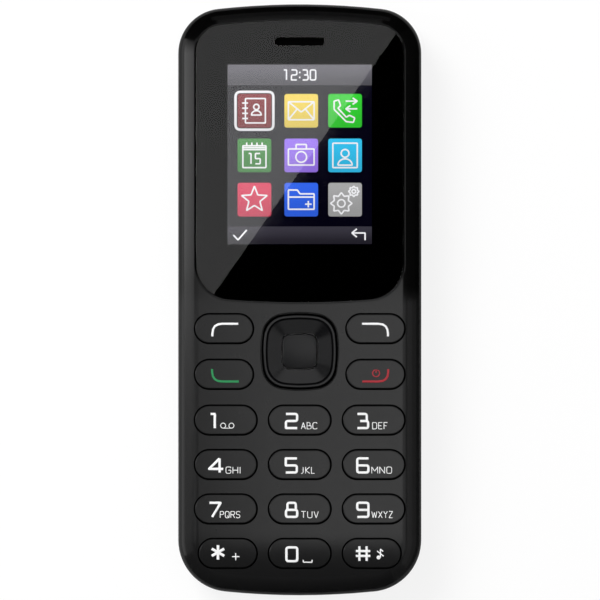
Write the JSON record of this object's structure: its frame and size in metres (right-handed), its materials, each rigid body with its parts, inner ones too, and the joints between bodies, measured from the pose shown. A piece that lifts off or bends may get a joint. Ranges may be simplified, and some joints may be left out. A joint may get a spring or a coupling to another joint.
{
  "type": "mobile phone",
  "caption": "Black bar phone with a display window above soft keys, a four-way ring and a number keypad, over a battery, board and pull-off back cover.",
  "frame": {"origin": "middle of the back cover's outer face, on the surface that the phone lies on", "axes": "+Z out of the display, +Y along the phone towards the earpiece, +X to the right seen from the front"},
  "size_m": [0.0472, 0.115, 0.0142],
  "materials": {
    "front_plastic": "satin, fine texture",
    "cover_plastic": "satin, fine texture",
    "inner_plastic": "matt",
    "key_plastic": "satin with printed legends",
    "ring_plastic": "gloss",
    "select_plastic": "satin gloss",
    "window_acrylic": "clear acrylic, polished, masked black round the display",
    "adhesive_tape": "matt black tape",
    "mesh_cloth": "fine black mesh",
    "receiver_shell": "pressed steel",
    "soft_rubber": "matt",
    "lcd_frame_plastic": "matt white",
    "lcd_glass": "lit colour display",
    "flex_film": "amber film",
    "board_laminate": "green solder mask",
    "dome_film": "white film over steel domes",
    "led_body": "pale epoxy",
    "mat_rubber": "translucent grey",
    "rocker_plastic": "matt",
    "battery_wrap": "dark printed film",
    "connector_plastic": "matt black",
    "contact_gold": "gold plated",
    "holder_steel": "stamped steel",
    "can_steel": "tinned steel",
    "jack_plastic": "moulded black",
    "port_steel": "nickel plated",
    "tongue_plastic": "moulded black",
    "bezel_metal": "dark anodised",
    "camera_glass": "coated cover glass",
    "camera_plastic": "matt black",
    "speaker_plastic": "moulded black",
    "motor_steel": "drawn steel",
    "shaft_steel": "ground steel",
    "weight_metal": "sintered tungsten",
    "mic_can": "drawn aluminium",
    "antenna_copper": "plated copper sheet",
    "screw_steel": "zinc plated"
  },
  "bodies": {
    "chassis": {"front_housing": "front_plastic", "rear_housing": "inner_plastic", "display_window": "window_acrylic", "window_adhesive": "adhesive_tape", "earpiece_mesh": "mesh_cloth", "earpiece_receiver": "receiver_shell", "receiver_gasket": "soft_rubber", "lcd_frame": "lcd_frame_plastic", "lcd_panel": "lcd_glass", "lcd_gasket": "soft_rubber", "lcd_flex": "flex_film", "main_board": "board_laminate", "dome_sheet": "dome_film", "key_leds": "led_body", "keymat": "mat_rubber", "battery": "battery_wrap", "battery_connector": "connector_plastic", "battery_contacts": "contact_gold", "sim_holder_left": "holder_steel", "sim_holder_right": "holder_steel", "memory_card_slot": "holder_steel", "shield_can": "can_steel", "audio_jack": "jack_plastic", "usb_port": "port_steel", "usb_tongue": "tongue_plastic", "camera_bezel": "bezel_metal", "camera_window": "camera_glass", "camera_module": "camera_plastic", "speaker_mesh": "mesh_cloth", "loudspeaker": "speaker_plastic", "vibration_motor": "motor_steel", "microphone_boot": "soft_rubber", "microphone": "mic_can", "antenna_carrier": "connector_plastic", "antenna_plate": "antenna_copper", "housing_screws": "screw_steel"},
    "back_cover": {"back_cover": "cover_plastic"},
    "softkey_left": {"softkey_left": "key_plastic"},
    "softkey_right": {"softkey_right": "key_plastic"},
    "call_key": {"call_key": "key_plastic"},
    "end_key": {"end_key": "key_plastic"},
    "key_1": {"key_1": "key_plastic"},
    "key_2": {"key_2": "key_plastic"},
    "key_3": {"key_3": "key_plastic"},
    "key_4": {"key_4": "key_plastic"},
    "key_5": {"key_5": "key_plastic"},
    "key_6": {"key_6": "key_plastic"},
    "key_7": {"key_7": "key_plastic"},
    "key_8": {"key_8": "key_plastic"},
    "key_9": {"key_9": "key_plastic"},
    "key_star": {"key_star": "key_plastic"},
    "key_0": {"key_0": "key_plastic"},
    "key_hash": {"key_hash": "key_plastic"},
    "select_key": {"select_key": "select_plastic"},
    "nav_rocker": {"nav_rocker": "rocker_plastic"},
    "nav_ring": {"nav_ring": "ring_plastic"},
    "motor_rotor": {"motor_shaft": "shaft_steel", "motor_weight": "weight_metal"}
  },
  "joints": [
    {"name": "cover_pull", "type": "slide", "parent": "chassis", "child": "back_cover", "axis": [0, 0, -1], "range_m": [0, 0.02]},
    {"name": "softkey_left_press", "type": "slide", "parent": "chassis", "child": "softkey_left", "axis": [0, 0, -1], "range_m": [0, 0.0003], "stiffness_N_per_m": 600, "springref_m": -0.001},
    {"name": "softkey_right_press", "type": "slide", "parent": "chassis", "child": "softkey_right", "axis": [0, 0, -1], "range_m": [0, 0.0003], "stiffness_N_per_m": 600, "springref_m": -0.001},
    {"name": "call_key_press", "type": "slide", "parent": "chassis", "child": "call_key", "axis": [0, 0, -1], "range_m": [0, 0.0003], "stiffness_N_per_m": 600, "springref_m": -0.001},
    {"name": "end_key_press", "type": "slide", "parent": "chassis", "child": "end_key", "axis": [0, 0, -1], "range_m": [0, 0.0003], "stiffness_N_per_m": 600, "springref_m": -0.001},
    {"name": "key_1_press", "type": "slide", "parent": "chassis", "child": "key_1", "axis": [0, 0, -1], "range_m": [0, 0.0003], "stiffness_N_per_m": 600, "springref_m": -0.001},
    {"name": "key_2_press", "type": "slide", "parent": "chassis", "child": "key_2", "axis": [0, 0, -1], "range_m": [0, 0.0003], "stiffness_N_per_m": 600, "springref_m": -0.001},
    {"name": "key_3_press", "type": "slide", "parent": "chassis", "child": "key_3", "axis": [0, 0, -1], "range_m": [0, 0.0003], "stiffness_N_per_m": 600, "springref_m": -0.001},
    {"name": "key_4_press", "type": "slide", "parent": "chassis", "child": "key_4", "axis": [0, 0, -1], "range_m": [0, 0.0003], "stiffness_N_per_m": 600, "springref_m": -0.001},
    {"name": "key_5_press", "type": "slide", "parent": "chassis", "child": "key_5", "axis": [0, 0, -1], "range_m": [0, 0.0003], "stiffness_N_per_m": 600, "springref_m": -0.001},
    {"name": "key_6_press", "type": "slide", "parent": "chassis", "child": "key_6", "axis": [0, 0, -1], "range_m": [0, 0.0003], "stiffness_N_per_m": 600, "springref_m": -0.001},
    {"name": "key_7_press", "type": "slide", "parent": "chassis", "child": "key_7", "axis": [0, 0, -1], "range_m": [0, 0.0003], "stiffness_N_per_m": 600, "springref_m": -0.001},
    {"name": "key_8_press", "type": "slide", "parent": "chassis", "child": "key_8", "axis": [0, 0, -1], "range_m": [0, 0.0003], "stiffness_N_per_m": 600, "springref_m": -0.001},
    {"name": "key_9_press", "type": "slide", "parent": "chassis", "child": "key_9", "axis": [0, 0, -1], "range_m": [0, 0.0003], "stiffness_N_per_m": 600, "springref_m": -0.001},
    {"name": "key_star_press", "type": "slide", "parent": "chassis", "child": "key_star", "axis": [0, 0, -1], "range_m": [0, 0.0003], "stiffness_N_per_m": 600, "springref_m": -0.001},
    {"name": "key_0_press", "type": "slide", "parent": "chassis", "child": "key_0", "axis": [0, 0, -1], "range_m": [0, 0.0003], "stiffness_N_per_m": 600, "springref_m": -0.001},
    {"name": "key_hash_press", "type": "slide", "parent": "chassis", "child": "key_hash", "axis": [0, 0, -1], "range_m": [0, 0.0003], "stiffness_N_per_m": 600, "springref_m": -0.001},
    {"name": "select_key_press", "type": "slide", "parent": "chassis", "child": "select_key", "axis": [0, 0, -1], "range_m": [0, 0.0003], "stiffness_N_per_m": 600, "springref_m": -0.001},
    {"name": "nav_up_down", "type": "hinge", "parent": "chassis", "child": "nav_rocker", "pos_m": [0, -0.01004, 0.01112], "axis": [1, 0, 0], "range_deg": [-2, 2], "stiffness_Nm_per_rad": 0.3},
    {"name": "nav_left_right", "type": "hinge", "parent": "nav_rocker", "child": "nav_ring", "pos_m": [0, -0.01004, 0.01112], "axis": [0, 1, 0], "range_deg": [-2, 2], "stiffness_Nm_per_rad": 0.3},
    {"name": "motor_spin", "type": "hinge", "parent": "chassis", "child": "motor_rotor", "pos_m": [-0.01, 0.0247, 0.0045], "axis": [1, 0, 0], "continuous": true}
  ]
}
